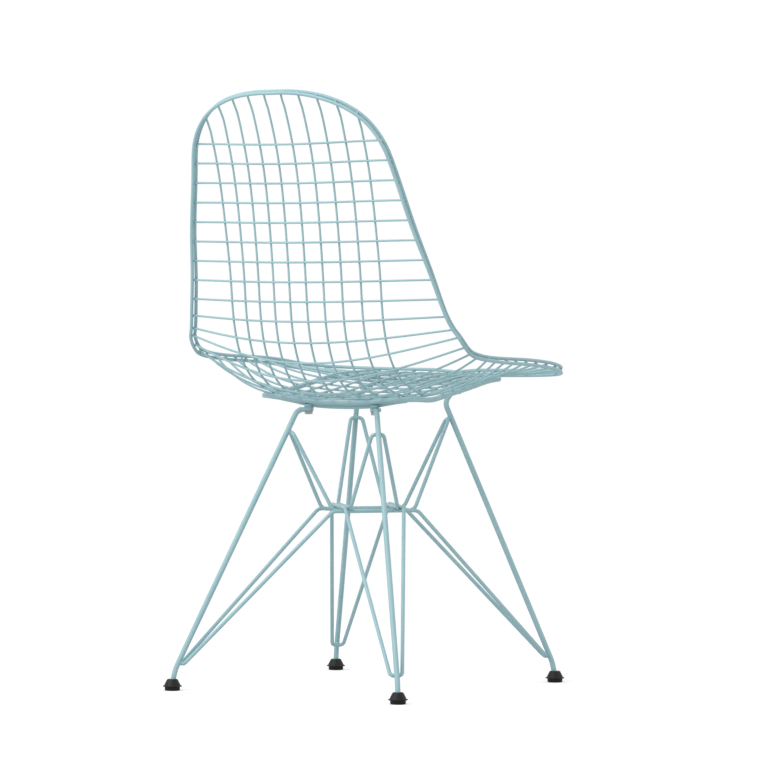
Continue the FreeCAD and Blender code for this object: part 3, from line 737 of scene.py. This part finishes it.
for label, cadLabel, sx, sy in corners:
    bolt = bolts["rear"] if sy > 0 else (bolts["frontX"], boltFrontY)
    padTop = bolts["padTopRear"] if sy > 0 else padTopFront
    under = padTop - pads["thickness"]
    toe, heel, bend, inward = legPoints(sx, sy)
    boltAt = Vector((bolt[0] * sx, bolt[1], padTop - pads["thickness"] / 2))
    flat = Vector((boltAt.x - bend.x, boltAt.y - bend.y, 0)).normalized()
    bendEnd = boltAt - flat * (washers["radius"] + legs["endRoom"])
    if (bendEnd - bend).length < legs["shoulderBend"] * legs["shortRun"]:
        bendEnd = boltAt - flat * (washers["radius"] * legs["endTuck"])
    rod = drawWire("leg" + label, roundedPath(
        [toe, heel, bend, bendEnd], [0, legs["ankleBend"], legs["shoulderBend"], 0]),
        legs["rod"], detail=5)
    bpy.ops.object.mode_set(mode="EDIT")
    bpy.ops.mesh.select_all(action="SELECT")
    bpy.ops.mesh.bisect(
        plane_co=(0, 0, (padTop - legs["cutBelow"]) * mm), plane_no=(0, 0, 1),
        use_fill=True, clear_outer=True)
    bpy.ops.object.mode_set(mode="OBJECT")
    reach = washers["radius"] + pads["tongue"]
    bpy.ops.object.select_all(action="DESELECT")
    bpy.ops.mesh.primitive_cylinder_add(
        vertices=roundSides, radius=pads["width"] / 2 * mm, depth=pads["thickness"] * mm,
        location=boltAt * mm)
    pad = bpy.context.object
    across = Vector((-flat.y, flat.x, 0))
    for vertex in pad.data.vertices:  # the rear half of the disc is drawn out into a tongue
        if vertex.co.dot(flat) < -pads["middleBand"] * mm:
            side = vertex.co.dot(across)
            vertex.co.x = across.x * side - flat.x * reach * mm
            vertex.co.y = across.y * side - flat.y * reach * mm
    bpy.ops.object.transform_apply(location=True, rotation=True, scale=True)
    softenEdges(pad, pads["bevel"], segments=3)
    leg = joinPieces([rod, pad], "leg" + label)
    finishPiece(leg, powderCoat, ["leg_" + cadLabel])

    centre = Vector((boltAt.x, boltAt.y, under - washers["thickness"]))
    washer = turnedPiece("washer" + label, centre, (
        (washers["radius"], 0), (washers["radius"], washers["thickness"])),
        roundSides, washers["bevel"])
    finishPiece(washer, zincPlate, ["washers"] if label == "RearLeft" else [])
    headRadius = bolts["headAcross"] / math.sqrt(3)
    head = turnedPiece("boltHead" + label, centre - Vector((0, 0, bolts["headHeight"])), (
        (headRadius * bolts["headEnd"], 0), (headRadius, bolts["headChamfer"]),
        (headRadius, bolts["headHeight"])), bolts["headSides"], bolts["headBevel"])
    shankTop = washers["thickness"] + pads["thickness"] + bolts["shankAbove"]
    shank = turnedPiece("boltShank" + label, centre, (
        (bolts["radius"], -bolts["shankBelow"]), (bolts["radius"], shankTop)),
        bolts["shankSides"], bolts["shankBevel"])
    padBolt = joinPieces([head, shank], "padBolt" + label)
    finishPiece(padBolt, zincPlate, ["pad_bolts"] if label == "RearLeft" else [])
print("legs, pads and bolts made")

# Bracing loops: each runs from one leg to the middle and out to the opposite leg.
braces = {
    "wire": 5.4, "level": 249.7, "centreY": -6.5,
    "upper": {"spread": 33.2, "corner": 59.0}, "lower": {"spread": 41.6, "corner": 62.0},
    "rearHeight": 362.0, "frontHeight": 378.5, "lowerHeight": 40.0,
    "uBend": 8.2, "uRadiusShare": 0.8, "cornerBend": 12.0, "weldShare": 0.58,
}
touch = (legs["rod"] + braces["wire"]) / 2 - mesh["sink"]
uRadius = braces["uBend"] * braces["uRadiusShare"]
braceCentre = Vector((0, braces["centreY"], 0))
weldPlaces = []
for pair, first, rise in (("left", 1, 0.0), ("right", -1, braces["wire"] - mesh["sink"])):
    for kind in ("upper", "lower"):
        path, radii = [], []
        for sx, sy in ((first, 1), (-first, -1)):
            height = braces["lowerHeight"]
            if kind == "upper":
                height = braces["rearHeight"] if sy > 0 else braces["frontHeight"]
            onLeg, lean = legAt(sx, sy, height)
            out = Vector((sx * legs["foot"][0], sy * legs["foot"][1], 0)) - braceCentre
            out.normalize()
            across = Vector((-out.y, out.x, 0))
            inward = Vector((-onLeg.x, braces["centreY"] - onLeg.y, 0)).normalized()
            apex = onLeg + inward * (touch * math.cos(lean))
            apex.z -= touch * math.sin(lean)
            apart = apex - onLeg
            weldPlaces.append((onLeg + apart * braces["weldShare"], apart.normalized()))
            bend = braceCentre + out * braces[kind]["corner"]
            bend.z = braces["level"] + rise
            spread = across * braces[kind]["spread"]
            path += [bend - spread, apex - across * braces["uBend"],
                     apex + across * braces["uBend"], bend + spread]
            radii += [braces["cornerBend"], uRadius, uRadius, braces["cornerBend"]]
        loop = drawWire("brace%s%s" % (kind.title(), pair.title()),
                        roundedPath(path, radii, True), braces["wire"], closed=True, detail=4)
        finishPiece(loop, powderCoat, ["brace_%s_%s" % (kind, pair)])
print("bracing loops made")

# Glides, turned from rings of (radius, height).
glides = {
    "rings": (
        (9.95, 0.0), (10.75, 0.8), (10.75, 5.2), (13.5, 5.6), (13.5, 6.8), (11.6, 7.2),
        (11.0, 8.8), (8.25, 14.3), (7.25, 15.8), (6.05, 16.2)),
    "shift": 0.8, "sides": 56, "bevel": 0.25,
}
for label, cadLabel, sx, sy in corners:
    toe, heel, bend, inward = legPoints(sx, sy)
    centre = Vector((toe.x, toe.y, 0)) + inward * glides["shift"]
    glide = turnedPiece("glide" + label, centre, glides["rings"], glides["sides"], glides["bevel"])
    finishPiece(glide, glidePlastic, ["glide_" + cadLabel])
print("glides made")

# Weld beads where wires cross, along the rims, and where the loops meet the legs.
welds = {
    "segments": 8, "rings": 6, "mesh": (1.75, 1.15), "rim": (2.1, 1.2), "brace": (4.0, 2.6),
    "endInset": 0.9,
}


def weldBeads(name, places, size):
    # Small flattened beads joined into one piece, each at (point, direction) and sized
    # (across, along) that direction.
    beads = []
    bpy.ops.object.select_all(action="DESELECT")
    bpy.ops.mesh.primitive_uv_sphere_add(
        segments=welds["segments"], ring_count=welds["rings"], radius=1.0)
    model = bpy.context.object
    bpy.ops.object.shade_smooth()
    for place, direction in places:
        bead = model.copy()
        bead.data = model.data.copy()
        bpy.context.scene.collection.objects.link(bead)
        scale = Matrix.Diagonal((size[0] * mm, size[0] * mm, size[1] * mm, 1.0))
        bead.data.transform(Matrix.Translation(place * mm) @ turnTo(direction) @ scale)
        beads.append(bead)
    bpy.data.objects.remove(model)
    joined = joinPieces(beads, name)
    finishPiece(joined, powderCoat)


crossings = []
for x, start, end in ribEnds:
    for s in rows:
        if start + mesh["ribSettle"] < s < end - mesh["ribSettle"]:
            crossings.append((offsetPoint(s, x, ribLift / 2), shellNormal(s, x)))
weldBeads("meshWelds", crossings, welds["mesh"])

rimWelds = []
for s in rows:
    for side in (-1, 1):
        w = halfWidth(s) * side
        for lift in (mesh["wire"] / 2, -mesh["wire"] / 2):
            rimWelds.append((rimPoint(s, w, lift), shellNormal(s, w)))
for x, start, end in ribEnds:
    for s in (start + welds["endInset"], end - welds["endInset"]):
        for lift in (mesh["wire"] / 2, -mesh["wire"] / 2):
            rimWelds.append((rimPoint(s, x, lift), shellNormal(s, x)))
weldBeads("rimWelds", rimWelds, welds["rim"])
weldBeads("braceWelds", weldPlaces, welds["brace"])
print("welds made")

# Plain even light on the object. The white backdrop and floor are what the camera sees.
studio = {
    "worldFill": 0.79, "floorSize": 3.4, "floorSides": 96, "fadeFrom": 0.95, "fadeTo": 1.6,
    "floorShade": 0.60, "floorGlow": 0.44, "floorBounce": 0.70,
    "keySize": 2.6, "keyPower": 82.0, "keyPlace": (0.9, 2.6, 2.9), "keyTarget": (0, 0, 0.5),
    "fillSize": 3.0, "fillPower": 10.0, "fillPlace": (-3.0, -1.2, 1.8),
    "fillTarget": (0, 0, 0.4),
    "lens": 213.65, "sensor": 36.0, "farClip": 60.0,
    "cameraPlace": (-3.55003, 5.33031, 0.56951),
    "cameraTurn": (math.pi / 2 - 0.0218996, 0.0, 3.7254115),
}

world = bpy.data.worlds.new("studio")
bpy.context.scene.world = world
world.use_nodes = True
tree = world.node_tree
backdrop = tree.nodes["Background"]
output = tree.nodes["World Output"]
backdrop.inputs["Color"].default_value = (1, 1, 1, 1)
backdrop.inputs["Strength"].default_value = studio["worldFill"]
white = addNode(tree, "ShaderNodeBackground", {"Color": (1, 1, 1, 1), "Strength": 1.0})
rays = addNode(tree, "ShaderNodeLightPath")
eitherRay = addNode(tree, "ShaderNodeMath", operation="MAXIMUM")
anyRay = addNode(tree, "ShaderNodeMath", operation="MAXIMUM")
blend = addNode(tree, "ShaderNodeMixShader")
tree.links.new(rays.outputs["Is Camera Ray"], eitherRay.inputs[0])
tree.links.new(rays.outputs["Is Glossy Ray"], eitherRay.inputs[1])
tree.links.new(eitherRay.outputs[0], anyRay.inputs[0])
tree.links.new(rays.outputs["Is Transmission Ray"], anyRay.inputs[1])
tree.links.new(anyRay.outputs[0], blend.inputs[0])
tree.links.new(backdrop.outputs[0], blend.inputs[1])
tree.links.new(white.outputs[0], blend.inputs[2])
tree.links.new(blend.outputs[0], output.inputs["Surface"])

bpy.ops.object.select_all(action="DESELECT")
bpy.ops.mesh.primitive_circle_add(
    vertices=studio["floorSides"], radius=studio["floorSize"] / 2, fill_type="NGON",
    location=(0, 0, 0))
floor = bpy.context.object
floor.name = "floor"
floorPaint = bpy.data.materials.new("floorPaint")
floorPaint.use_nodes = True
tree = floorPaint.node_tree
tree.nodes.remove(tree.nodes["Principled BSDF"])
matt = addNode(tree, "ShaderNodeBsdfDiffuse", {"Color": (studio["floorShade"],) * 3 + (1,)})
glow = addNode(tree, "ShaderNodeEmission", {"Color": (1, 1, 1, 1), "Strength": studio["floorGlow"]})
bounce = addNode(tree, "ShaderNodeBsdfDiffuse", {"Color": (studio["floorBounce"],) * 3 + (1,)})
bright = addNode(tree, "ShaderNodeEmission", {"Color": (1, 1, 1, 1), "Strength": 1.0})
both = addNode(tree, "ShaderNodeAddShader")
seen = addNode(tree, "ShaderNodeMixShader")
faded = addNode(tree, "ShaderNodeMixShader")
rays = addNode(tree, "ShaderNodeLightPath")
place = addNode(tree, "ShaderNodeTexCoord")
radius = addNode(tree, "ShaderNodeVectorMath", operation="LENGTH")
fade = addNode(tree, "ShaderNodeMapRange", {
    "From Min": studio["fadeFrom"], "From Max": studio["fadeTo"]}, interpolation_type="SMOOTHSTEP")
link = tree.links.new
link(matt.outputs[0], both.inputs[0])
link(glow.outputs[0], both.inputs[1])
link(place.outputs["Object"], radius.inputs[0])
link(radius.outputs["Value"], fade.inputs["Value"])
link(fade.outputs["Result"], faded.inputs[0])
link(both.outputs[0], faded.inputs[1])
link(bright.outputs[0], faded.inputs[2])
link(rays.outputs["Is Camera Ray"], seen.inputs[0])
link(bounce.outputs[0], seen.inputs[1])
link(faded.outputs[0], seen.inputs[2])
link(seen.outputs[0], tree.nodes["Material Output"].inputs["Surface"])
floor.data.materials.append(floorPaint)
floor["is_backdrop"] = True


def addSoftbox(name, place, size, power, target):
    bpy.ops.object.light_add(type="AREA", location=place)
    lamp = bpy.context.object
    lamp.name = name
    lamp.data.shape = "SQUARE"
    lamp.data.size = size
    lamp.data.energy = power
    lamp.rotation_euler = (Vector(target) - Vector(place)).to_track_quat("-Z", "Y").to_euler()


for lamp in ("key", "fill"):
    addSoftbox(lamp + "Light", studio[lamp + "Place"], studio[lamp + "Size"],
               studio[lamp + "Power"], studio[lamp + "Target"])

bpy.ops.object.camera_add(location=studio["cameraPlace"], rotation=studio["cameraTurn"])
camera = bpy.context.object
camera.data.lens = studio["lens"]
camera.data.sensor_width = studio["sensor"]
camera.data.clip_end = studio["farClip"]
bpy.context.scene.camera = camera
bpy.context.scene.view_settings.view_transform = "Standard"
print("studio ready")

bpy.context.view_layer.update()
low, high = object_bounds()
